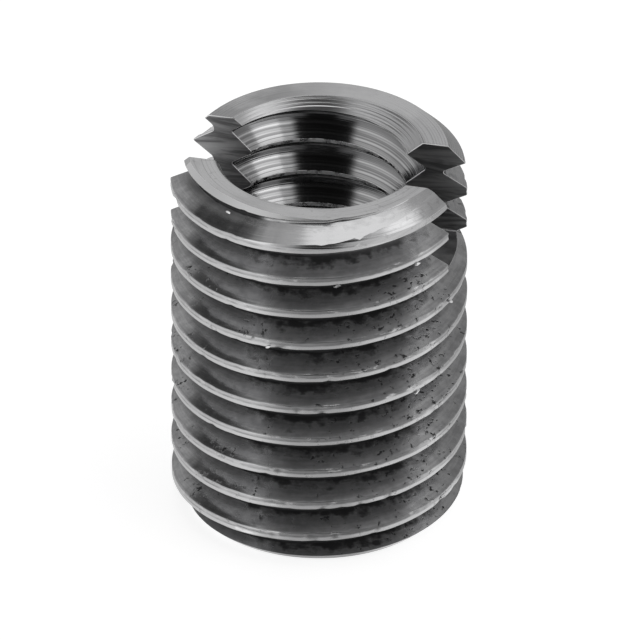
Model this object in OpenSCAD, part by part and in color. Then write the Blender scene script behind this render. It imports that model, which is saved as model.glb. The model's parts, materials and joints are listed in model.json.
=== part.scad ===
// Threaded insert: a short steel sleeve that is screwed into a tapped hole to give it a
// smaller thread. It is threaded outside and inside, both ends are bevelled, and a slot
// across the top takes a driver blade.
//
// Millimetres. The sleeve stands on its plain end, its axis is +Z, the origin is the middle
// of that end, and the slot runs along X. Both threads have a fine pitch, so each is held
// here as the true cylinder of its crests: a mating thread seats on these cylinders.

/* [Sleeve] */
// Overall length, end face to end face
sleeve_len = 10.55; // [6:0.05:30]
// Diameter over the crests of the outer thread
outer_thread_d = 7.85; // [6.5:0.05:16]
// Diameter between the crests of the inner thread
bore_thread_d = 4.7; // [2.5:0.02:6]

/* [Bevels] */
// Width and height of the 45 degree bevel round the slotted end
top_bevel = 0.43; // [0.1:0.01:1]
// Width of the steep shoulder below that bevel, where the outer thread begins
shoulder_w = 0.075; // [0:0.005:0.3]
// Height of that shoulder
shoulder_h = 0.18; // [0.02:0.01:0.6]
// Width and height of the 45 degree bevel that leads the plain end into its hole
foot_bevel = 0.48; // [0.1:0.01:1]
// Width and depth of the 45 degree countersink at each mouth of the bore
mouth_bevel = 0.42; // [0.1:0.01:1]
// Least width of flat left on an end face, which limits the bevels on a thin wall
least_land = 0.12; // [0.05:0.01:0.3]

/* [Driver slot] */
// Width of the slot across the top end
slot_w = 2.1; // [0.8:0.05:3]
// Depth of the slot below the top end
slot_depth = 2.6; // [0.5:0.05:4]

/* [Hidden] */

$fn = 96;
// The slot's cutter runs this far past the faces that it opens
past = 0.5;

outer_r = outer_thread_d / 2;
bore_r = bore_thread_d / 2;
wall = outer_r - bore_r;

// An end's bevel and countersink shrink together where the wall is too thin for both
function share(rim_bevel) = min(1, (wall - least_land) / (rim_bevel + mouth_bevel));

// The solid of revolution: both thread cylinders, the end faces and their four bevels
module turned_blank() {
    top_share = share(top_bevel + shoulder_w);
    top_rim = top_bevel * top_share;
    top_mouth = mouth_bevel * top_share;
    shoulder_r = outer_r - shoulder_w * top_share;
    shoulder_z = sleeve_len - top_rim;
    foot_rim = foot_bevel * share(foot_bevel);
    foot_mouth = mouth_bevel * share(foot_bevel);
    rotate_extrude()
        polygon([
            [bore_r + foot_mouth, 0],
            [outer_r - foot_rim, 0],
            [outer_r, foot_rim],
            [outer_r, shoulder_z - shoulder_h * top_share],
            [shoulder_r, shoulder_z],
            [shoulder_r - top_rim, sleeve_len],
            [bore_r + top_mouth, sleeve_len],
            [bore_r, sleeve_len - top_mouth],
            [bore_r, foot_mouth]
        ]);
}

// The flat-bottomed slot, milled right across the top end
module driver_slot() {
    translate([-outer_r - past, -slot_w / 2, sleeve_len - slot_depth])
        cube([2 * (outer_r + past), slot_w, slot_depth + past]);
}

module threaded_sleeve() {
    color([0.56, 0.56, 0.57])
        difference() {
            turned_blank();
            driver_slot();
        }
}

threaded_sleeve();
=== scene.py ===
"""Threaded insert: a slotted steel sleeve with real helical threads outside and inside.

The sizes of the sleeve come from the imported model. The threads, their wear and dirt, the
metal's finish and the studio are made here. Lengths in the settings are in metres. The meshes
are worked in millimetres, and brought to metres at the end.
"""

import json
import math
import random
from collections import namedtuple

import bmesh
import bpy
from mathutils import Matrix, Vector, noise


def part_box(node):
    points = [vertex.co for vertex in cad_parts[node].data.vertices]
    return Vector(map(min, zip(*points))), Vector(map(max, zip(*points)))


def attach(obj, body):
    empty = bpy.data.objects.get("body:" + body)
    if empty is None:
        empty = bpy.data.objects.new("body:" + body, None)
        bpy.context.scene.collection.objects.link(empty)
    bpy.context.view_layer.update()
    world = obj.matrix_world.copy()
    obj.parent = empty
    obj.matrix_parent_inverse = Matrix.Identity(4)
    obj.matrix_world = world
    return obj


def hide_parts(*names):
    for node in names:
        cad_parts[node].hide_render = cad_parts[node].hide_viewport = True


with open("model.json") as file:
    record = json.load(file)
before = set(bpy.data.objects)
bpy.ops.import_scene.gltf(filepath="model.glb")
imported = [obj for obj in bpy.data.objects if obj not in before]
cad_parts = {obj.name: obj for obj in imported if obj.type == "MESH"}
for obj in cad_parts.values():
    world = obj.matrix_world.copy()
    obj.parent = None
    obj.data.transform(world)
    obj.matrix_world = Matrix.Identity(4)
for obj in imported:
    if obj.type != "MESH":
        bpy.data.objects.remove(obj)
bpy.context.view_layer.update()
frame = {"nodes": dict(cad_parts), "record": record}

bl_info = {
    "name": "Threaded insert",
    "version": (1, 0, 0),
    "blender": (4, 5, 0),
    "location": "3D View > Sidebar > Insert",
    "description": "Builds a slotted, threaded steel insert and a studio for it",
    "category": "Object",
}

MM = 0.001
NODE = "threaded_sleeve"

# Places of the finishes in the sleeve's material slots
END_FACES, OUTER_THREAD, INNER_THREAD, SLOT_WALLS, WORN_HIGHLIT_EDGES = range(5)

# Lengths from here to the room are in millimetres.

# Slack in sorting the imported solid's corners by height and by radius, and a slope between that
# of the steep shoulder under the top bevel and that of the bevel
HEIGHT_SLACK = 0.001
RADIUS_SLACK = 0.005
SHOULDER_SLOPE = 1.7

# How far the threads, the blank's cones, and the cutters of slot and rim run past the sleeve
THREAD_SPARE = 0.4
CONE_SPARE = 0.25
CUTTER_SPARE = 1

# Facets in one turn
STEPS = 144

# Distances at which verts are joined: in a new solid, after the cuts, and on the slot's outline
NEW_WELD = 0.002
CUT_WELD = 0.0005
OUTLINE_WELD = 0.02

# A slanting direction, along which verts are put in order
SORT_WAY = Vector((1, 0.618, 0.755))

# Radii at the crest and at the root of the outer thread, and of the tap that cuts the bore
OUTER_ROUNDS = (0.04, 0.06)
TAP_ROUNDS = (0.04, 0.02)

# Rounding of the slot's floor, the bevel worn along its outline, and the angle in degrees
# from which an edge of the outline counts as sharp
SLOT_ROUND = 0.05
WORN_BEVEL = 0.016
SHARP_ANGLE = 38

# Shading: angles in degrees up to which an edge is smooth, on the end faces and elsewhere, and
# how squarely a face looks along the axis or across the slot to count as flat
END_SMOOTH = 15
SMOOTH = 40
FLAT = 0.9995

# Thinning of the first outer crest: how deep below the top it reaches and over what height it
# fades out there, and in turns, where it ends in the root and how far the crest is drawn in
PINCH_DEPTH = 1.7
PINCH_FADE = 0.25
PINCH_END = 0.49
PINCH_CREST = 0.15

# Weathering of the outer thread: swings of its waves and of its nicks in a millimetre, and
# the level from which a swing becomes a nick
WAVE_RATE = 1.6
NICK_RATE = 4.0
NICK_LEVEL = 0.3

# Burrs: turn to the right of the camera's side in degrees, depth below the top and radius
BURRS = ((7, 1.7, 3.95), (41, 1.6, 3.95), (41, 5.6, 3.94), (-43, 0.25, 3.5),
         (-20, 3.74, 3.94), (62, 3.5, 3.94))
# Spans of a burr's half length, thickness and height, its greatest lean in radians, and how
# lumpy it is
BURR_SIZES = ((0.07, 0.11), (0.02, 0.03), (0.03, 0.045))
BURR_LEAN = 0.7
BURR_LUMPS = 0.9

# Deburring of the rim: turn in degrees to the right of the camera's side where it cuts widest,
# how far it was held off centre, and the width and depth of its cut
DEBURR_TURN = -36
DEBURR_OFFSET = 0.8
DEBURR_WIDTH = 0.2
DEBURR_DEPTH = 0.18

# Directions out from the axis, to the side of the sleeve where each thing is most marked
SHADE_AND_DIRT_SIDE = Vector((0.4, -0.915, 0))  # painted shade and dirt in the roots, and a band of painted shade
PITTED_SIDE = Vector((0.76, -0.65, 0))  # pits
SHADED_SIDE = Vector((-0.72, -0.69, 0))  # painted shade near the roots
LIT_CREST_SIDE = Vector((-0.37, -0.93, 0))  # crests lighter over their whole width, a painted highlight
FRESH_SIDE = Vector((0.63, -0.78, 0))  # a freshly cut first flank
STAINED_SIDE = Vector((-0.8, 0.6, 0))  # stains on the end face

# How bright the room's walls are at each turn to the right of the camera's side, in degrees
ROOM = (
    (-180, 0.75), (-172, 0.75), (-164, 0.42), (-154, 0.42), (-147, 0.58), (-100, 0.7), (-40, 0.9),
    (-15, 0.45), (15, 0.45), (40, 0.9), (84, 0.95), (94, 0.55), (140, 0.34), (147, 0.32),
    (155, 0.1), (170, 0.1), (177, 0.7), (180, 0.75))

# Round zones of the room: the turn and the height of the middle, the angles from there at
# which the zone's own level ends and the outer level begins, all in degrees, and both levels
Zone = namedtuple("Zone", "turn height near far inside outside")
DARK_ZONES = (
    Zone(0, 46, 24, 32, 0.02, 1.0),  # above the camera
    Zone(0, 18, 12, 20, 0.1, 1.0),  # below it
    Zone(146, 0, 12, 22, 0.35, 1.0))  # behind on the right
DARK_CARD = Zone(-120, 47, 8, 24, 0.12, 1.0)
PALE_PANEL = Zone(155, 17, 15, 19, 0.42, 0.0)
# The ceiling's zone gives the ceiling's share in place of the walls, and its level is apart
CEILING = Zone(0, 90, 36, 46, 1.0, 0.0)
CEILING_LEVEL = 0.57

# Softboxes: name, turn and height in degrees, size in metres and brightness
SOFTBOXES = (("left_softbox", -50, 12, 0.16, 0.5), ("right_softbox", 76, 42, 0.14, 0.6),
             ("top_softbox", 90, 80, 0.22, 0.8))
SOFTBOX_DISTANCE = 0.3

# Radius of the floor in metres, its facets, and how bright it glows to the camera and to metal
FLOOR_RADIUS = 0.5
FLOOR_STEPS = 64
FLOOR_GLOW = 0.8

# Kinds of socket in a node group
FLOAT = "NodeSocketFloat"
VECTOR = "NodeSocketVector"


# ---------------------------------------------------------------------------- CAD sizes

class SleeveSizes:
    """The sleeve's sizes in millimetres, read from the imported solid."""

    def __init__(self):
        mounts = {mount["name"]: mount for mount in frame["record"]["mounts"]}
        low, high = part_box(NODE)
        corners = [v.co / MM for v in frame["nodes"][NODE].data.vertices]
        top = [v for v in corners if v.z > high.z / MM - HEIGHT_SLACK]
        foot = [v for v in corners if v.z < low.z / MM + HEIGHT_SLACK]
        self.length = high.z / MM
        self.outer_r = mounts["outer_thread"]["dims"]["r_mm"]
        self.bore_r = mounts["screw_thread"]["dims"]["r_mm"]
        self.top_rim_r = max(v.xy.length for v in top)
        self.top_mouth_r = min(v.xy.length for v in top)
        self.foot_rim_r = max(v.xy.length for v in foot)
        self.foot_mouth_r = min(v.xy.length for v in foot)
        self.slot_half = min(abs(v.y) for v in top)
        self.slot_floor = mounts["driver_slot"]["pos_m"][2] / MM
        # The outer crests begin under the steep shoulder, whose upper edge stands out furthest
        crests = [v for v in corners if v.xy.length > self.outer_r - RADIUS_SLACK]
        self.crest_top = max(v.z for v in crests)
        above = [v for v in corners if v.z > self.crest_top + HEIGHT_SLACK]
        self.shoulder = max(above, key=lambda v: SHOULDER_SLOPE * v.xy.length + v.z)


# ------------------------------------------------------------------------------ settings

class InsertThreads(bpy.types.PropertyGroup):
    """Both threads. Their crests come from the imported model."""

    pitch: bpy.props.FloatProperty(
        name="Pitch", description="Advance of either thread in one turn",
        default=1.0 * MM, unit="LENGTH")
    outer_depth: bpy.props.FloatProperty(
        name="Outer depth", description="Outer thread, from crest to root",
        default=0.615 * MM, unit="LENGTH")
    inner_depth: bpy.props.FloatProperty(
        name="Inner depth", description="Inner thread, from crest to root",
        default=0.47 * MM, unit="LENGTH")
    outer_crest: bpy.props.FloatProperty(
        name="Outer crest", description="Width of the outer thread's flat crest",
        default=0.21 * MM, unit="LENGTH")
    inner_crest: bpy.props.FloatProperty(
        name="Inner crest", description="Width of the inner thread's flat crest",
        default=0.09 * MM, unit="LENGTH")
    seam: bpy.props.FloatProperty(
        name="Seam", description="Depth of the valley that rolling leaves along the outer crest",
        default=0.018 * MM, unit="LENGTH")
    outer_flank: bpy.props.FloatProperty(
        name="Outer flank", description="Outer flanks' slope from a plane across the axis",
        default=math.radians(30), subtype="ANGLE")
    inner_lower_flank: bpy.props.FloatProperty(
        name="Inner flank, facing up", description="Slope from a plane across the axis",
        default=math.radians(47), subtype="ANGLE")
    inner_upper_flank: bpy.props.FloatProperty(
        name="Inner flank, facing down", description="Slope from a plane across the axis",
        default=math.radians(36), subtype="ANGLE")
    outer_start: bpy.props.FloatProperty(
        name="Outer start", description="Depth of the first outer crest on the camera's side",
        default=0.5875 * MM, unit="LENGTH")
    back_pinch: bpy.props.FloatProperty(
        name="Back pinch", description="Thinning of the first outer crest behind the slot",
        default=0.18 * MM, unit="LENGTH")
    wander: bpy.props.FloatProperty(
        name="Wander", description="Waviness of the outer thread's faces",
        default=0.012 * MM, unit="LENGTH")
    nick: bpy.props.FloatProperty(
        name="Nicks", description="Depth scale of the nicks in the outer crests",
        default=0.12 * MM, unit="LENGTH")
    inner_start: bpy.props.FloatProperty(
        name="Inner start", description="Depth of the first inner root on the far side",
        default=0.56 * MM, unit="LENGTH")


class InsertFinish(bpy.types.PropertyGroup):
    """Colours of the metal and of the dirt on it."""

    steel: bpy.props.FloatVectorProperty(
        name="Steel", description="Clean cut steel",
        subtype="COLOR", size=3, min=0, max=1, default=(0.54, 0.54, 0.545))
    bare: bpy.props.FloatVectorProperty(
        name="Bare steel", description="Steel of the flanks where it is fairly clean",
        subtype="COLOR", size=3, min=0, max=1, default=(0.46, 0.46, 0.465))
    crest: bpy.props.FloatVectorProperty(
        name="Crest steel", description="Crests of the outer thread, rubbed clean",
        subtype="COLOR", size=3, min=0, max=1, default=(0.58, 0.58, 0.585))
    # Lighter than the steel: wear on the edges, lightened further as a painted highlight
    edge: bpy.props.FloatVectorProperty(
        name="Worn edges", description="Edges of the slot and of the bevels",
        subtype="COLOR", size=3, min=0, max=1, default=(0.75, 0.75, 0.755))
    # Dark: painted shade along the outer crest's seam, and the dark of the tool marks in the bore
    seam: bpy.props.FloatVectorProperty(
        name="Seam", description="Middle of the outer crest and the dark lines in the bore",
        subtype="COLOR", size=3, min=0, max=1, default=(0.22, 0.22, 0.223))
    dull: bpy.props.FloatVectorProperty(
        name="Dull steel", description="Darker steel of the flanks and the slot",
        subtype="COLOR", size=3, min=0, max=1, default=(0.3, 0.3, 0.305))
    # Near black: dirt and stains, and also painted shade in the outer thread's roots and on its
    # flanks; it darkens the slot walls in clouds
    grime_and_shade: bpy.props.FloatVectorProperty(
        name="Grime and shade", description="Oily dirt in the thread roots",
        subtype="COLOR", size=3, min=0, max=1, default=(0.02, 0.02, 0.021))


class InsertStudio(bpy.types.PropertyGroup):
    """Camera and light."""

    azimuth: bpy.props.FloatProperty(
        name="Azimuth", description="Camera's turn round the sleeve from the slot's side view",
        default=math.radians(13.8), subtype="ANGLE")
    elevation: bpy.props.FloatProperty(
        name="Elevation", description="Camera's height above the horizon",
        default=math.radians(32.8), subtype="ANGLE")
    distance: bpy.props.FloatProperty(
        name="Distance", description="Camera's distance from the sleeve",
        default=0.6, unit="LENGTH")
    view_width: bpy.props.FloatProperty(
        name="View width", description="Width seen at the sleeve",
        default=16.92 * MM, unit="LENGTH")
    shift: bpy.props.FloatProperty(
        name="Shift", description="Sideways shift of the picture, as a share of its width",
        default=0.0016)
    paper: bpy.props.FloatVectorProperty(
        name="Floor", description="Pale floor",
        subtype="COLOR", size=3, min=0, max=1, default=(0.45, 0.45, 0.45))


# ---------------------------------------------------------------------- mesh: the tools

def fillet(corners, radii, segments=3):
    """The open outline through the corners (r, z), each inner one rounded by its radius."""
    points = [Vector(corners[0])]
    for before, corner, after, radius in zip(corners, corners[1:], corners[2:], radii):
        corner = Vector(corner)
        to_before = (Vector(before) - corner).normalized()
        to_after = (Vector(after) - corner).normalized()
        half = to_before.angle(to_after) / 2
        reach = radius / math.tan(half)
        centre = corner + (to_before + to_after).normalized() * radius / math.sin(half)
        first = corner + to_before * reach - centre
        turn = first.angle_signed(corner + to_after * reach - centre)
        for i in range(segments + 1):
            points.append(centre + Matrix.Rotation(-turn * i / segments, 2) @ first)
    points.append(Vector(corners[-1]))
    return points


def held(points, gap=0.015):
    """The outline with points near the ends of its long sides, so that they shade flat."""
    outline = points[:1]
    for start, end in zip(points, points[1:]):
        step = (end - start).normalized() * gap
        if (end - start).length > 4 * gap:
            outline += [start + step, end - step]
        outline.append(end)
    return outline


def wire(bm, points):
    """Verts and edges of an outline given as (r, z), drawn at angle 0."""
    verts = [bm.verts.new((p[0], 0, p[1])) for p in points]
    edges = [bm.edges.new(pair) for pair in zip(verts, verts[1:])]
    return verts + edges


def threaded_bar(crest_r, root_r, pitch, crest_w, flanks, rounds, crest_z, span, seam=0):
    """A closed bar with a right-hand thread whose crest stands at crest_z at angle 0.

    The flanks are the lower and the upper one, each as its slope from a plane across the axis,
    and the rounds are the radii at the crest and at the root. The seam is the depth of the
    valley that thread rolling leaves along the crest, which is rounded by an eighth of the
    crest's width.
    """
    depth = abs(crest_r - root_r)
    lower, upper = (depth * math.tan(flank) for flank in flanks)
    root_half = (pitch - crest_w - lower - upper) / 2
    crest_half = crest_w / 2
    outline = [
        (root_r, -crest_half - lower - root_half),
        (root_r, -crest_half - lower),
        (crest_r, -crest_half),
        (crest_r - seam, 0),
        (crest_r, crest_half),
        (root_r, crest_half + upper),
        (root_r, crest_half + upper + root_half),
    ]
    crest_round, root_round = rounds
    radii = [root_round, crest_round, crest_w / 8, crest_round, root_round]
    if not seam:
        outline.pop(3)
        radii.pop(2)
    points = held(fillet(outline, radii))
    low, high = span
    # A turn and a half more at either end, which the cuts below take off
    first = crest_z - pitch * math.ceil((crest_z - low) / pitch + 1.5)
    turns = math.ceil((high - first) / pitch + 1.5)
    bm = bmesh.new()
    geom = wire(bm, [(r, z + first) for r, z in points])
    bmesh.ops.spin(
        bm, geom=geom, cent=(0, 0, 0), axis=(0, 0, 1), dvec=(0, 0, pitch / STEPS),
        angle=math.tau, steps=STEPS)
    one_turn = bm.verts[:] + bm.edges[:] + bm.faces[:]
    for turn in range(1, turns):
        copy = bmesh.ops.duplicate(bm, geom=one_turn)["geom"]
        verts = [v for v in copy if isinstance(v, bmesh.types.BMVert)]
        bmesh.ops.translate(bm, vec=(0, 0, turn * pitch), verts=verts)
    bmesh.ops.remove_doubles(bm, verts=bm.verts, dist=NEW_WELD)
    for height, upper_end in ((low, False), (high, True)):
        cut = bmesh.ops.bisect_plane(
            bm, geom=bm.verts[:] + bm.edges[:] + bm.faces[:], dist=1e-5,
            plane_co=(0, 0, height), plane_no=(0, 0, 1),
            clear_inner=not upper_end, clear_outer=upper_end)
        rim = [e for e in cut["geom_cut"] if isinstance(e, bmesh.types.BMEdge)]
        bmesh.ops.edgeloop_fill(bm, edges=rim)
    bmesh.ops.recalc_face_normals(bm, faces=bm.faces)
    return bm


def turned(outline):
    """A solid of revolution of a closed outline."""
    bm = bmesh.new()
    geom = wire(bm, outline + outline[:1])
    bmesh.ops.spin(
        bm, geom=geom, cent=(0, 0, 0), axis=(0, 0, 1), angle=math.tau, steps=STEPS,
        use_merge=True)
    bmesh.ops.remove_doubles(bm, verts=bm.verts, dist=NEW_WELD)
    bmesh.ops.recalc_face_normals(bm, faces=bm.faces)
    return bm


def to_object(bm, name, materials, finish=0):
    """A new object that holds the bmesh, all of it in one of the materials."""
    for face in bm.faces:
        face.material_index = finish
    mesh = bpy.data.meshes.new(name)
    bm.to_mesh(mesh)
    bm.free()
    for material in materials:
        mesh.materials.append(material)
    piece = bpy.data.objects.new(name, mesh)
    bpy.context.scene.collection.objects.link(piece)
    return piece


def combine(piece, tool, operation):
    """Cuts or keeps the piece by the tool, and removes the tool."""
    modifier = piece.modifiers.new(operation.lower(), "BOOLEAN")
    modifier.object = tool
    modifier.operation = operation
    modifier.solver = "MANIFOLD"
    evaluated = piece.evaluated_get(bpy.context.evaluated_depsgraph_get())
    mesh = bpy.data.meshes.new_from_object(evaluated)
    piece.modifiers.clear()
    old, piece.data = piece.data, mesh
    bpy.data.meshes.remove(old)
    bpy.data.objects.remove(tool)
    if not mesh.polygons:
        raise RuntimeError(f"{operation} left nothing of {piece.name}")


# ---------------------------------------------------------------------- mesh: the sleeve

def blank_outline(sizes):
    """The sleeve's section, with both cones at each end run on past the threads."""
    outside = sizes.outer_r + CONE_SPARE
    inside = sizes.bore_r - CONE_SPARE
    steep = (sizes.shoulder.z - sizes.crest_top) / (sizes.outer_r - sizes.shoulder.xy.length)
    return [
        (sizes.foot_mouth_r, 0), (sizes.foot_rim_r, 0),
        (outside, outside - sizes.foot_rim_r),
        (outside, sizes.crest_top - steep * CONE_SPARE),
        (sizes.shoulder.xy.length, sizes.shoulder.z),
        (sizes.top_rim_r, sizes.length), (sizes.top_mouth_r, sizes.length),
        (inside, sizes.length - (sizes.top_mouth_r - inside)),
        (inside, sizes.foot_mouth_r - inside),
    ]


def slot_cutter(sizes):
    """The block that leaves the slot, with its two lower edges slightly rounded."""
    bm = bmesh.new()
    bmesh.ops.create_cube(bm, size=1)
    length = 2 * sizes.outer_r + 2 * CUTTER_SPARE
    height = sizes.length - sizes.slot_floor + CUTTER_SPARE
    bmesh.ops.scale(bm, vec=(length, 2 * sizes.slot_half, height), verts=bm.verts)
    bmesh.ops.translate(bm, vec=(0, 0, sizes.slot_floor + height / 2), verts=bm.verts)
    lower = [e for e in bm.edges
             if all(v.co.z < sizes.slot_floor + height / 2 for v in e.verts)
             and abs(e.verts[0].co.x - e.verts[1].co.x) > length / 2]
    bmesh.ops.bevel(bm, geom=lower, offset=SLOT_ROUND, segments=3, profile=0.5, material=-1,
                    affect="EDGES")
    return bm


def crest_heights(sizes, threads, azimuth):
    """Heights at angle 0 of a crest of the outer thread and of a root of the inner one."""
    pitch = threads.pitch / MM
    camera_side = math.degrees(azimuth) - 90
    outer_z = sizes.length - threads.outer_start / MM - pitch * camera_side / 360
    root_z = sizes.length - threads.inner_start / MM - pitch * (camera_side + 180) / 360
    return outer_z, root_z


def pinch_back(bar, sizes, pitch, crest_z, crest_w, pinch):
    """Thins the first outer crest behind the slot from below, as its lead-in leaves it."""
    half = crest_w / 2 / pitch
    for vert in bar.verts:
        x, y, z = vert.co
        depth = sizes.length - z
        if y < 0 or depth > PINCH_DEPTH:
            continue
        # Turns below the middle of the nearest crest, from -0.5 to 0.5
        below = (crest_z - z) / pitch + math.atan2(y, x) / math.tau
        below -= math.floor(below + 0.5)
        # It grows across the slot and towards the left, and fades out with the depth
        share = min(1, y / sizes.slot_half, max(0, -x), (PINCH_DEPTH - depth) / PINCH_FADE)
        # It lifts the crest's lower edge in full and its upper edge not at all, and fades out
        # in the root
        lift = min(1, (below / half + 1) / 2, (PINCH_END - below) * 10)
        vert.co.z += pinch * share * max(0, lift)
        # The crest is drawn in a little as well
        if abs(below) < PINCH_CREST:
            vert.co.xy *= 1 - pinch / 2 * share / sizes.outer_r


def weather(bar, wander, nick):
    """Makes the thread's faces slightly wavy and takes nicks out of its crests."""
    for vert in bar.verts:
        inward = -vert.co.xy.normalized()
        wave = noise.noise(vert.co * WAVE_RATE)
        chip = max(0, noise.noise(vert.co * NICK_RATE + Vector((0, 0, 9))) - NICK_LEVEL)
        vert.co.z += wander * noise.noise(vert.co * WAVE_RATE + Vector((5, 0, 0)))
        vert.co.xy += inward * (wander * (wave + 1) / 2 + nick * chip)


def add_burr(bar, sizes, turn, depth, radius, seed):
    """Joins a small curled burr to the bar, turned to the right of the camera's side."""
    bm = bmesh.new()
    bmesh.ops.create_icosphere(bm, subdivisions=1, radius=1)
    dice = random.Random(seed)
    for vert in bm.verts:
        vert.co *= 1 + BURR_LUMPS * noise.noise(vert.co * 1.1 + Vector((seed * 3, 0, 0)))
    size = [dice.uniform(*span) for span in BURR_SIZES]
    bmesh.ops.scale(bm, vec=size, verts=bm.verts)
    lean = Matrix.Rotation(dice.uniform(-BURR_LEAN, BURR_LEAN), 3, "Y")
    facing = Matrix.Rotation(turn + math.pi / 2, 3, "Z")
    bmesh.ops.rotate(bm, matrix=facing @ lean, verts=bm.verts)
    spot = Vector((radius * math.cos(turn), radius * math.sin(turn), sizes.length - depth))
    bmesh.ops.translate(bm, vec=spot, verts=bm.verts)
    combine(bar, to_object(bm, "burr", bar.data.materials, WORN_HIGHLIT_EDGES), "UNION")


def deburr(piece, sizes, azimuth):
    """Takes the edge off the top face in front of the slot, as a file held askew would."""
    # A cone at 45 degrees keeps what lies inside it. It clears the sleeve below its cut
    edge_r = sizes.top_rim_r + DEBURR_OFFSET - DEBURR_WIDTH
    foot = sizes.length - DEBURR_DEPTH
    clear_r, core_r = 6, 0.5
    kept = turned([(core_r, -CUTTER_SPARE), (clear_r, -CUTTER_SPARE), (clear_r, foot),
                   (edge_r + DEBURR_DEPTH, foot),
                   (edge_r - CUTTER_SPARE, sizes.length + CUTTER_SPARE),
                   (core_r, sizes.length + CUTTER_SPARE)])
    away = azimuth - math.pi / 2 + math.radians(DEBURR_TURN) + math.pi
    shift = Vector((math.cos(away), math.sin(away), 0)) * DEBURR_OFFSET
    bmesh.ops.translate(kept, vec=shift, verts=kept.verts)
    combine(piece, to_object(kept, "deburring", piece.data.materials, WORN_HIGHLIT_EDGES), "INTERSECT")


def outer_bar(sizes, threads, crest_z, span):
    """The bar that carries the outer thread, weathered."""
    pitch = threads.pitch / MM
    crest_w = threads.outer_crest / MM
    bar = threaded_bar(
        sizes.outer_r, sizes.outer_r - threads.outer_depth / MM, pitch, crest_w,
        (threads.outer_flank, threads.outer_flank), OUTER_ROUNDS, crest_z, span,
        threads.seam / MM)
    weather(bar, threads.wander / MM, threads.nick / MM)
    pinch_back(bar, sizes, pitch, crest_z, crest_w, threads.back_pinch / MM)
    return bar


def bore_tap(sizes, threads, root_z, span):
    """The tap, which is the bore's thread inside out: its crest cuts the roots."""
    pitch = threads.pitch / MM
    depth = threads.inner_depth / MM
    flanks = (threads.inner_lower_flank, threads.inner_upper_flank)
    root_w = pitch - threads.inner_crest / MM - depth * sum(math.tan(a) for a in flanks)
    return threaded_bar(sizes.bore_r + depth, sizes.bore_r, pitch, root_w, flanks, TAP_ROUNDS,
                        root_z, span)


def rank(*verts):
    """A number that depends only on where the verts lie, to sort by."""
    return sum(sorted(vert.co.dot(SORT_WAY) for vert in verts))


def put_in_order(bm):
    """Sorts the mesh by place, because the cuts leave it in an order that chance decides."""
    bm.verts.sort(key=rank)
    bm.edges.sort(key=lambda edge: rank(*edge.verts))
    bm.faces.sort(key=lambda face: rank(*face.verts))


def slot_outline(bm):
    """The sharp edges where the walls of the slot break through the other faces."""
    return [e for e in bm.edges
            if e.is_manifold and e.calc_face_angle() > math.radians(SHARP_ANGLE)
            and [f.material_index for f in e.link_faces].count(SLOT_WALLS) == 1]


def wear_slot(bm):
    """Wears the slot's outline down to a narrow bevel."""
    corners = {vert for edge in slot_outline(bm) for vert in edge.verts}
    bmesh.ops.remove_doubles(bm, verts=sorted(corners, key=rank), dist=OUTLINE_WELD)
    wear_and_highlight = bmesh.ops.bevel(bm, geom=slot_outline(bm), offset=WORN_BEVEL, segments=2,
                           profile=0.5, material=-1, affect="EDGES")
    for face in wear_and_highlight["faces"]:
        face.material_index = WORN_HIGHLIT_EDGES


def shade(bm):
    """Shades the round faces smooth, and the end faces and the slot's walls flat."""
    for face in bm.faces:
        face.normal_update()
        face.smooth = max(abs(face.normal.y), abs(face.normal.z)) < FLAT
    # Faces with different finishes, or of different bevels, keep a crisp edge between them
    for edge in bm.edges:
        finishes = {face.material_index for face in edge.link_faces}
        limit = END_SMOOTH if END_FACES in finishes else SMOOTH
        edge.smooth = len(finishes) == 1 and edge.calc_face_angle(0) < math.radians(limit)


def build_sleeve(sizes, threads, azimuth, materials):
    """The whole sleeve as one closed mesh, in metres."""
    outer_z, root_z = crest_heights(sizes, threads, azimuth)
    span = (-THREAD_SPARE, sizes.length + THREAD_SPARE)
    bar = outer_bar(sizes, threads, outer_z, span)
    piece = to_object(bar, "insert_sleeve", materials, OUTER_THREAD)
    for seed, (turn, depth, radius) in enumerate(BURRS):
        add_burr(piece, sizes, azimuth - math.pi / 2 + math.radians(turn), depth, radius, seed)
    blank = to_object(turned(blank_outline(sizes)), "blank", materials, END_FACES)
    combine(piece, blank, "INTERSECT")
    deburr(piece, sizes, azimuth)
    tap = to_object(bore_tap(sizes, threads, root_z, span), "tap", materials, INNER_THREAD)
    combine(piece, tap, "DIFFERENCE")
    cutter = to_object(slot_cutter(sizes), "slot_cutter", materials, SLOT_WALLS)
    combine(piece, cutter, "DIFFERENCE")
    bm = bmesh.new()
    bm.from_mesh(piece.data)
    put_in_order(bm)
    bmesh.ops.remove_doubles(bm, verts=bm.verts, dist=CUT_WELD)
    bmesh.ops.dissolve_degenerate(bm, dist=CUT_WELD, edges=bm.edges)
    wear_slot(bm)
    shade(bm)
    bmesh.ops.scale(bm, vec=(MM, MM, MM), verts=bm.verts)
    bm.to_mesh(piece.data)
    bm.free()
    return piece


# ------------------------------------------------------------------ materials: the tools

def fill(made, inputs):
    """Gives a node its inputs, as values or as links to other nodes' sockets."""
    for name, value in inputs.items():
        if isinstance(value, bpy.types.NodeSocket):
            made.id_data.links.new(value, made.inputs[name])
        else:
            made.inputs[name].default_value = value


def node(tree, kind, inputs=None, **settings):
    """A new node with its settings and inputs."""
    made = tree.nodes.new(kind)
    for name, value in settings.items():
        setattr(made, name, value)
    fill(made, inputs or {})
    return made


def sums(tree, operation, first, second=0.0, third=0.0, clamp=False):
    """The result of a Math node."""
    made = node(tree, "ShaderNodeMath", {0: first, 1: second, 2: third},
                operation=operation, use_clamp=clamp)
    return made.outputs[0]


def product(tree, first, second):
    """Two values multiplied."""
    return sums(tree, "MULTIPLY", first, second)


def larger(tree, first, second):
    """The larger of two values."""
    return sums(tree, "MAXIMUM", first, second)


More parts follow.
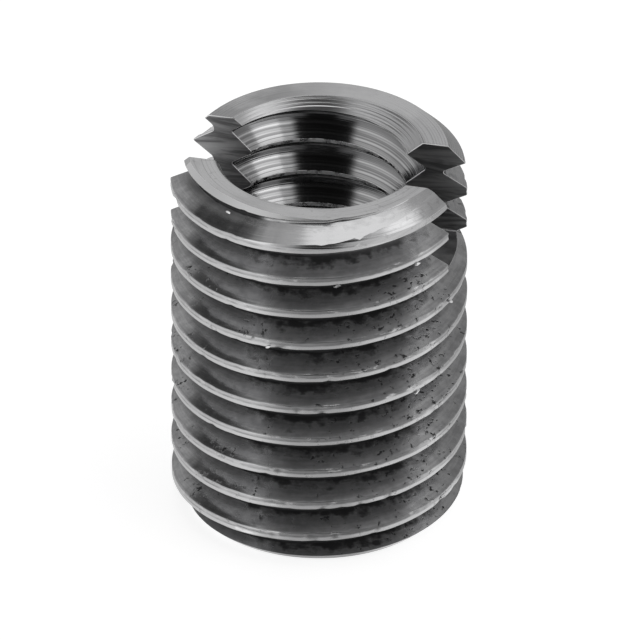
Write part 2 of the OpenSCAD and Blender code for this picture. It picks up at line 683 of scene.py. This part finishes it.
def swing(tree, value, size, base):
    """The base moved by a noise value, which swings about 0.5, times the size."""
    return sums(tree, "MULTIPLY_ADD", sums(tree, "SUBTRACT", value, 0.5), size, base)


def ramp(tree, value, low, high, to_low=0.0, to_high=1.0):
    """The value mapped smoothly from one range to another."""
    made = node(tree, "ShaderNodeMapRange",
                {"Value": value, "From Min": low, "From Max": high,
                 "To Min": to_low, "To Max": to_high}, interpolation_type="SMOOTHSTEP")
    return made.outputs["Result"]


def noise_at(tree, vector, scale=1.0, detail=3.0, roughness=0.6):
    """A noise value at the vector, about 0.5 on average."""
    made = node(tree, "ShaderNodeTexNoise",
                {"Vector": vector, "Scale": scale, "Detail": detail, "Roughness": roughness})
    return made.outputs["Fac"]


def vector_of(tree, x, y, z=0.0):
    """A vector from its three parts."""
    return node(tree, "ShaderNodeCombineXYZ", {0: x, 1: y, 2: z}).outputs[0]


def added(tree, first, second):
    """Two vectors added."""
    return node(tree, "ShaderNodeVectorMath", {0: first, 1: second}, operation="ADD").outputs[0]


def times(tree, vector, factor):
    """The vector made longer by the factor."""
    made = node(tree, "ShaderNodeVectorMath", {0: vector, "Scale": factor}, operation="SCALE")
    return made.outputs[0]


def stretched(tree, vector, factors):
    """The vector made longer along each axis by that axis's own factor."""
    made = node(tree, "ShaderNodeVectorMath", {0: vector, 1: factors}, operation="MULTIPLY")
    return made.outputs[0]


def side_of(tree, direction, side):
    """How far a unit vector turns to the given side, from -1 to 1."""
    made = node(tree, "ShaderNodeVectorMath", {0: direction, 1: side}, operation="DOT_PRODUCT")
    return made.outputs["Value"]


def blend(tree, factor, first, second):
    """The first colour where the factor is 0, and the second where it is 1."""
    # A Mix node's sockets share their names, so its colours go by number: 6, 7 and 2
    made = node(tree, "ShaderNodeMix", {0: factor, 6: first, 7: second}, data_type="RGBA")
    return made.outputs[2]


def between(tree, factor, first, second):
    """The first value where the factor is 0, and the second where it is 1."""
    return node(tree, "ShaderNodeMix", {0: factor, 2: first, 3: second}).outputs[0]


def new_group(name, inputs, outputs):
    """A shader node group, with inputs given as defaults and outputs as kinds of socket."""
    group = bpy.data.node_groups.new(name, "ShaderNodeTree")
    for socket, value in inputs.items():
        kind = FLOAT if isinstance(value, float) else VECTOR
        made = group.interface.new_socket(socket, in_out="INPUT", socket_type=kind)
        made.default_value = value
    for socket, kind in outputs.items():
        group.interface.new_socket(socket, in_out="OUTPUT", socket_type=kind)
    return group, group.nodes.new("NodeGroupInput").outputs, group.nodes.new("NodeGroupOutput")


def placed(tree, group, inputs=None):
    """The outputs of a group placed in a tree with its own inputs."""
    return node(tree, "ShaderNodeGroup", inputs, node_tree=group).outputs


def place_group(pitch):
    """Where a point lies on the sleeve, in millimetres and turns.

    Round is the way out from the axis. Helix is like it, but stays the same along a thread, and
    Turns counts the thread's turns up the axis.
    """
    tree, given, out = new_group(
        "Place on sleeve", {"Pitch": pitch},
        {"Point": VECTOR, "Radius": FLOAT, "Height": FLOAT, "Helix": VECTOR, "Round": VECTOR,
         "Turns": FLOAT})
    point = times(tree, node(tree, "ShaderNodeTexCoord").outputs["Object"], 1 / MM)
    x, y, z = node(tree, "ShaderNodeSeparateXYZ", {0: point}).outputs
    angle = sums(tree, "ARCTAN2", y, x)
    lead = sums(tree, "DIVIDE", product(tree, z, math.tau), given["Pitch"])
    along = sums(tree, "SUBTRACT", angle, lead)
    fill(out, {
        "Point": point,
        "Radius": sums(tree, "SQRT", sums(tree, "MULTIPLY_ADD", x, x, product(tree, y, y))),
        "Height": z,
        "Helix": vector_of(tree, sums(tree, "COSINE", along), sums(tree, "SINE", along)),
        "Round": vector_of(tree, sums(tree, "COSINE", angle), sums(tree, "SINE", angle)),
        "Turns": sums(tree, "DIVIDE", along, -math.tau)})
    return tree


def marks_group(place):
    """Tool marks that follow a thread, and the like marks in rings round the axis."""
    tree, given, out = new_group(
        "Tool marks", {"Fineness": 3.0, "Breaks": 1.0, "Seed": 0.0},
        {"Thread marks": FLOAT, "Ring marks": FLOAT})
    at = placed(tree, place)
    fine = given["Fineness"]
    drift = times(tree, at["Round"], given["Breaks"])
    drift = added(tree, drift, vector_of(tree, given["Seed"], 0.0))
    depth = vector_of(tree, 0.0, 0.0, product(tree, at["Radius"], 2.0))
    spot = added(tree, added(tree, times(tree, at["Helix"], fine), depth), drift)
    rings = times(tree, vector_of(tree, at["Radius"], at["Height"]), fine)
    fill(out, {
        "Thread marks": noise_at(tree, spot, detail=2.0, roughness=0.5),
        "Ring marks": noise_at(tree, added(tree, rings, drift), detail=1.0, roughness=0.5)})
    return tree


def soil_and_shade_group(place):
    """Mottled dirt and painted shade, thick in the roots and more on one side of the sleeve, a
    band of painted shade on that side, and small pits.
    """
    tree, given, out = new_group(
        "Soil", {"Clean radius": 3.9, "Foul radius": 3.3},
        {"Dirt": FLOAT, "Pits": FLOAT, "Cloud": FLOAT, "Film": FLOAT})
    at = placed(tree, place)
    drawn = added(tree, at["Helix"], times(tree, at["Point"], 0.9))
    cloud = noise_at(tree, drawn, detail=4.0)
    smudge = noise_at(tree, stretched(tree, at["Point"], (3.0, 3.0, 3.5)), roughness=0.55)
    deep = node(tree, "ShaderNodeMapRange",
                {"Value": at["Radius"], "From Min": given["Clean radius"],
                 "From Max": given["Foul radius"]}).outputs["Result"]
    facing = side_of(tree, at["Round"], SHADE_AND_DIRT_SIDE)
    ragged = swing(tree, cloud, 1.2, swing(tree, smudge, 1.3, deep))
    # The roots darken more on the side that faces the camera: painted shade
    ragged = sums(tree, "ADD", ragged, ramp(tree, facing, 0.6, 0.97, -0.3, 0.2))
    # Pits lie in patches, which spread towards their side
    pitted = side_of(tree, at["Round"], PITTED_SIDE)
    patches = sums(tree, "ADD", noise_at(tree, at["Point"], 1.3, 2.0, 0.5),
                   ramp(tree, pitted, 0.7, 1.0, -0.04, 0.14))
    pits = ramp(tree, noise_at(tree, at["Point"], 7.0), 0.57, 0.65)
    fill(out, {
        "Dirt": ramp(tree, ragged, 0.35, 1.05),
        "Cloud": cloud,
        # A band of painted shade on the outer thread's side that faces the camera
        "Film": ramp(tree, facing, 0.78, 0.93),
        "Pits": product(tree, pits, ramp(tree, patches, 0.5, 0.6))})
    return tree


def room_group():
    """The brightness of the room's walls in a given direction from the sleeve."""
    tree, given, out = new_group("Room walls", {"Direction": Vector()}, {"Level": FLOAT})
    shares = [side_of(tree, given["Direction"], axis)
              for axis in (from_sleeve(math.pi / 2, 0), from_sleeve(0, 0))]
    turn = sums(tree, "DIVIDE", sums(tree, "ARCTAN2", *shares), math.tau)
    walls = node(tree, "ShaderNodeValToRGB", {"Fac": sums(tree, "ADD", turn, 0.5)})
    stops = walls.color_ramp.elements
    for degrees, level in ROOM[1:-1]:
        stops.new(degrees / 360 + 0.5)
    for stop, (degrees, level) in zip(stops, ROOM):
        stop.position = degrees / 360 + 0.5
        stop.color = (level, level, level, 1)
    fill(out, {"Level": walls.outputs["Color"]})
    return tree


# -------------------------------------------------------------- materials: the finishes

def metal(name):
    """A new metal material, its tree and its shader."""
    material = bpy.data.materials.new(name)
    material.use_nodes = True
    shader = material.node_tree.nodes["Principled BSDF"]
    fill(shader, {"Metallic": 1.0})
    return material, material.node_tree, shader


def engrave(tree, shader, height, distance, strength=1.0, before=None):
    """Bumps the distance high, in millimetres, over the bumps that were made before."""
    inputs = {"Height": height, "Distance": distance * MM, "Strength": strength}
    if before:
        inputs["Normal"] = before
    bump = node(tree, "ShaderNodeBump", inputs).outputs["Normal"]
    fill(shader, {"Normal": bump})
    return bump


def outer_thread_material(sizes, threads, finish, crest_turn, place, marks, soil_and_shade):
    """Flanks soiled and darkened with painted shade, with marks along the helix, and crests
    rubbed clean and lit by a painted highlight on one side.
    """
    material, tree, shader = metal("Outer thread")
    crest_r = sizes.outer_r
    root_r = crest_r - threads.outer_depth / MM
    at = placed(tree, place)
    depth = sums(tree, "SUBTRACT", sizes.length, at["Height"])
    lines = placed(tree, marks, {"Fineness": 5.0, "Breaks": 2.0})["Thread marks"]
    dirt_and_shade = placed(tree, soil_and_shade, {"Clean radius": crest_r - 0.075, "Foul radius": root_r - 0.06})

    # Rise over the crest's middle, in turns
    rise = sums(tree, "FRACT", sums(tree, "ADD", at["Turns"], 0.5 - crest_turn % 1))
    rise = sums(tree, "SUBTRACT", rise, 0.5)

    # Crests: rubbed clean below the seam, and above it in patches, and on one side, where the
    # lighter crest is a painted highlight
    nicks = noise_at(tree, stretched(tree, at["Point"], (2.0, 2.0, 6.0)))
    rubbed_and_lit = sums(tree, "ADD", ramp(tree, nicks, 0.55, 0.7),
                  ramp(tree, side_of(tree, at["Round"], LIT_CREST_SIDE), 0.6, 0.95, 0.0, 0.5))
    rubbed_and_lit = sums(tree, "MAXIMUM", rubbed_and_lit, ramp(tree, rise, 0.0, 0.02, 1.0, 0.0), clamp=True)
    wear_and_highlight = product(tree, ramp(tree, at["Radius"], crest_r - 0.065, crest_r - 0.025), rubbed_and_lit)
    # The crest's middle is darkened along the seam: painted shade in the rolled valley, with
    # darker patches at random
    seam = ramp(tree, sums(tree, "ABSOLUTE", sums(tree, "ADD", rise, -0.01)), 0.0, 0.04)
    seam = larger(tree, seam, ramp(tree, nicks, 0.35, 0.65, 0.2, 0.9))
    crest = blend(tree, seam, (*finish.seam, 1), (*finish.crest, 1))

    # Flanks: cloudy and streaked, and clean steel where the first one is freshly cut
    fresh = product(tree, ramp(tree, depth, 0.85, 1.25, 1.0, 0.0),
                    ramp(tree, side_of(tree, at["Round"], FRESH_SIDE), 0.55, 0.7))
    tone = sums(tree, "MULTIPLY_ADD", ramp(tree, lines, 0.3, 0.7), 0.1,
                product(tree, dirt_and_shade["Cloud"], 0.5))
    tone = sums(tree, "MULTIPLY_ADD", noise_at(tree, at["Point"], 5.0), 0.4, tone)
    flank = blend(tree, ramp(tree, tone, 0.35, 0.65), (*finish.dull, 1), (*finish.bare, 1))
    flank = blend(tree, fresh, flank, (*finish.steel, 1))
    steel = blend(tree, wear_and_highlight, flank, crest)

    # Dirt and painted shade: dirt with painted shade in the roots, painted shade on two sides,
    # near the roots on one, pits, and a dark line of painted shade along the root
    side_shade = product(tree,
                      ramp(tree, side_of(tree, at["Round"], SHADED_SIDE), 0.8, 0.97),
                      ramp(tree, at["Radius"], root_r + 0.14, crest_r - 0.175, 0.5, 0.0))
    shade_film = larger(tree, product(tree, dirt_and_shade["Film"], 0.52), side_shade)
    pits = product(tree, dirt_and_shade["Pits"], ramp(tree, depth, 1.55, 2.35, 0.05, 1.0))
    soiled_and_shaded = larger(tree, dirt_and_shade["Dirt"], larger(tree, shade_film, pits))
    soiled_and_shaded = product(tree, soiled_and_shaded, ramp(tree, fresh, 0.0, 1.0, 1.0, 0.2))
    # A dark line of painted shade along the root, faint where the first flank is fresh
    root = product(tree, ramp(tree, at["Radius"], root_r + 0.02, root_r + 0.07, 1.0, 0.0),
                   ramp(tree, fresh, 0.0, 1.0, 1.0, 0.1))
    off_wear_and_highlight = between(tree, wear_and_highlight, 1.0, 0.2)
    cover = larger(tree, product(tree, soiled_and_shaded, off_wear_and_highlight), root)
    fill(shader, {
        "Base Color": blend(tree, cover, steel, (*finish.grime_and_shade, 1)),
        "Roughness": ramp(tree, cover, 0.0, 1.0, 0.17, 0.6),
        "Metallic": ramp(tree, cover, 0.0, 1.0, 1.0, 0.2)})
    cut = product(tree, lines, ramp(tree, fresh, 0.0, 1.0, 0.2, 0.8))
    engrave(tree, shader, pits, -0.012, 0.6, before=engrave(tree, shader, cut, 0.007))
    return material


def inner_thread_material(sizes, finish, place, marks):
    """Bright tapped flanks with coarse lines along the helix, and torn crests."""
    material, tree, shader = metal("Inner thread")
    at = placed(tree, place)
    lines = placed(tree, marks, {"Fineness": 2.7, "Breaks": 0.35, "Seed": 7.0})["Thread marks"]
    steel = blend(tree, ramp(tree, lines, 0.42, 0.68), (*finish.seam, 1), (*finish.steel, 1))
    torn = product(tree, ramp(tree, noise_at(tree, at["Point"], 5.0), 0.38, 0.6, 0.2, 1.0),
                   ramp(tree, at["Radius"], sizes.bore_r + 0.002, sizes.bore_r + 0.015, 1.0, 0.0))
    fill(shader, {
        "Base Color": blend(tree, torn, steel, (*finish.edge, 1)),
        "Roughness": ramp(tree, torn, 0.0, 1.0, 0.12, 0.6)})
    engrave(tree, shader, lines, 0.006)
    return material


def end_face_material(sizes, finish, place, marks, soil_and_shade):
    """Turned end faces and bevels with fine rings, lightly stained."""
    material, tree, shader = metal("End faces")
    at = placed(tree, place)
    rings = placed(tree, marks, {"Fineness": 18.0, "Breaks": 0.7, "Seed": 3.0})["Ring marks"]
    stain = placed(tree, soil_and_shade)
    steel = blend(tree, ramp(tree, stain["Cloud"], 0.35, 0.65),
                  (*finish.bare, 1), (*finish.steel, 1))
    # The countersink, inside the mouth's rim, is rougher than the face, with deeper rings and
    # no stain
    face = ramp(tree, at["Radius"], sizes.top_mouth_r - 0.02, sizes.top_mouth_r + 0.08)
    stained = product(tree,
                      ramp(tree, side_of(tree, at["Round"], STAINED_SIDE), 0.6, 1.0, 0.0, 0.4),
                      ramp(tree, stain["Cloud"], 0.3, 0.6))
    cover = larger(tree, product(tree, stain["Pits"], 0.15), product(tree, stained, face))
    fill(shader, {
        "Base Color": blend(tree, cover, steel, (*finish.grime_and_shade, 1)),
        "Roughness": between(tree, face, 0.3, 0.18)})
    engrave(tree, shader, product(tree, rings, between(tree, face, 1.0, 0.3)), 0.02)
    return material


def edge_material(finish):
    """The cut edges, worn by handling, their colour lightened as a painted highlight."""
    material, _, shader = metal("Worn edges")
    fill(shader, {"Base Color": (*finish.edge, 1), "Roughness": 0.35})
    return material


def slot_material(finish, place, soil_and_shade):
    """Milled slot walls with straight marks along the slot."""
    material, tree, shader = metal("Slot walls")
    at = placed(tree, place)
    tone = ramp(tree, placed(tree, soil_and_shade)["Cloud"], 0.35, 0.65, 0.3, 0.85)
    fill(shader, {
        "Base Color": blend(tree, tone, (*finish.grime_and_shade, 1), (*finish.bare, 1)),
        "Roughness": 0.42})
    engrave(tree, shader, noise_at(tree, stretched(tree, at["Point"], (0.7, 9.0, 9.0))), 0.006)
    return material


def floor_material(paper, room):
    """Pale card that shows white and keeps the sleeve's shadow."""
    material = bpy.data.materials.new("Pale floor")
    material.use_nodes = True
    tree = material.node_tree
    path = node(tree, "ShaderNodeLightPath").outputs
    place = node(tree, "ShaderNodeTexCoord").outputs["Object"]
    mirrored = placed(tree, room, {"Direction": place})["Level"]
    mirrored = product(tree, path["Is Glossy Ray"], mirrored)
    fill(tree.nodes["Principled BSDF"], {
        "Base Color": (*paper, 1),
        "Roughness": 0.9,
        "Specular IOR Level": 0.0,
        "Emission Color": larger(tree, path["Is Camera Ray"], mirrored),
        "Emission Strength": FLOOR_GLOW})
    return material


# -------------------------------------------------------------------------- the studio

def from_sleeve(turn, height):
    """Unit vector from the sleeve, turned to the right from the camera's side, and raised."""
    heading = bpy.context.scene.insert_studio.azimuth + turn
    return Vector((math.sin(heading) * math.cos(height), -math.cos(heading) * math.cos(height),
                   math.sin(height)))


def zone_level(tree, direction, zone):
    """The zone's inside level near its middle, and its outside level away from it."""
    middle = from_sleeve(math.radians(zone.turn), math.radians(zone.height))
    return ramp(tree, side_of(tree, direction, middle), math.cos(math.radians(zone.far)),
                math.cos(math.radians(zone.near)), zone.outside, zone.inside)


def studio_world(room):
    """Pale walls and a dimmer ceiling, with the dark zones and the panel that steel mirrors."""
    world = bpy.data.worlds.new("studio")
    world.use_nodes = True
    tree = world.node_tree
    direction = node(tree, "ShaderNodeTexCoord").outputs["Generated"]
    walls = placed(tree, room, {"Direction": direction})["Level"]
    walls = between(tree, zone_level(tree, direction, CEILING), walls, CEILING_LEVEL)
    dark = 1.0
    for zone in DARK_ZONES:
        dark = sums(tree, "MINIMUM", dark, zone_level(tree, direction, zone))
    dark = product(tree, dark, zone_level(tree, direction, DARK_CARD))
    level = product(tree, dark, walls)
    level = larger(tree, level, zone_level(tree, direction, PALE_PANEL))
    path = node(tree, "ShaderNodeLightPath").outputs
    fill(tree.nodes["Background"], {"Color": larger(tree, level, path["Is Camera Ray"])})
    return world


def aim(holder, back, target):
    """Puts a camera or a lamp into the scene, set back from its target and facing it."""
    holder.location = target + back
    holder.rotation_mode = "QUATERNION"
    holder.rotation_quaternion = (-back).to_track_quat("-Z", "Y")
    bpy.context.scene.collection.objects.link(holder)


def add_camera(studio):
    """A long lens on the middle of the sleeve."""
    low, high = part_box(NODE)
    data = bpy.data.cameras.new("camera")
    data.lens = data.sensor_width * studio.distance / studio.view_width
    data.clip_start = studio.distance / 10
    data.shift_x = studio.shift
    camera = bpy.data.objects.new("camera", data)
    aim(camera, from_sleeve(0, studio.elevation) * studio.distance, (low + high) / 2)
    bpy.context.scene.camera = camera


def add_softbox(name, turn, height, size, brightness):
    """A round lamp that faces the sleeve, as bright as the given part of white."""
    lamp = bpy.data.lights.new(name, "AREA")
    lamp.shape = "DISK"
    lamp.size = size
    lamp.energy = brightness * math.pi * math.pi * (size / 2) ** 2
    back = from_sleeve(math.radians(turn), math.radians(height)) * SOFTBOX_DISTANCE
    aim(bpy.data.objects.new(name, lamp), back, Vector())


# ----------------------------------------------------------------------------- operators

class INSERT_OT_sleeve(bpy.types.Operator):
    """Build the threaded sleeve and give it its steel"""

    bl_idname = "insert.sleeve"
    bl_label = "Threaded sleeve"

    def execute(self, context):
        scene = context.scene
        finish = scene.insert_finish
        threads = scene.insert_threads
        azimuth = scene.insert_studio.azimuth
        pitch = threads.pitch / MM
        sizes = SleeveSizes()
        crest_turn = crest_heights(sizes, threads, azimuth)[0] / pitch
        place = place_group(pitch)
        marks = marks_group(place)
        soil_and_shade = soil_and_shade_group(place)
        materials = [
            end_face_material(sizes, finish, place, marks, soil_and_shade),
            outer_thread_material(sizes, threads, finish, crest_turn, place, marks, soil_and_shade),
            inner_thread_material(sizes, finish, place, marks),
            slot_material(finish, place, soil_and_shade),
            edge_material(finish)]
        piece = build_sleeve(sizes, threads, azimuth, materials)
        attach(piece, "root")
        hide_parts(NODE)
        return {"FINISHED"}


class INSERT_OT_studio(bpy.types.Operator):
    """Set the floor, the lamps, the world and the camera"""

    bl_idname = "insert.studio"
    bl_label = "Studio"

    def execute(self, context):
        scene = context.scene
        studio = scene.insert_studio
        room = room_group()
        bm = bmesh.new()
        bmesh.ops.create_circle(bm, cap_ends=True, segments=FLOOR_STEPS, radius=FLOOR_RADIUS)
        to_object(bm, "floor", [floor_material(studio.paper, room)])
        scene.world = studio_world(room)
        add_camera(studio)
        for softbox in SOFTBOXES:
            add_softbox(*softbox)
        scene.view_settings.view_transform = "Standard"
        return {"FINISHED"}


class INSERT_PT_panel(bpy.types.Panel):
    """Lists the settings and the steps of the build"""

    bl_label = "Threaded insert"
    bl_idname = "INSERT_PT_panel"
    bl_space_type = "VIEW_3D"
    bl_region_type = "UI"
    bl_category = "Insert"

    def draw(self, context):
        layout = self.layout
        for group in (context.scene.insert_threads, context.scene.insert_finish,
                      context.scene.insert_studio):
            box = layout.box()
            for name in group.__annotations__:
                box.prop(group, name)
        for operator in (INSERT_OT_sleeve, INSERT_OT_studio):
            layout.operator(operator.bl_idname)


CLASSES = (InsertThreads, InsertFinish, InsertStudio,
           INSERT_OT_sleeve, INSERT_OT_studio, INSERT_PT_panel)


def register():
    """Adds the settings, the operators and the panel."""
    for cls in CLASSES:
        bpy.utils.register_class(cls)
    bpy.types.Scene.insert_threads = bpy.props.PointerProperty(type=InsertThreads)
    bpy.types.Scene.insert_finish = bpy.props.PointerProperty(type=InsertFinish)
    bpy.types.Scene.insert_studio = bpy.props.PointerProperty(type=InsertStudio)


def unregister():
    """Takes them out again."""
    del bpy.types.Scene.insert_studio
    del bpy.types.Scene.insert_finish
    del bpy.types.Scene.insert_threads
    for cls in reversed(CLASSES):
        bpy.utils.unregister_class(cls)


def main():
    """Builds the sleeve and its studio."""
    register()
    bpy.ops.insert.sleeve()
    bpy.ops.insert.studio()


if __name__ == "__main__":
    main()
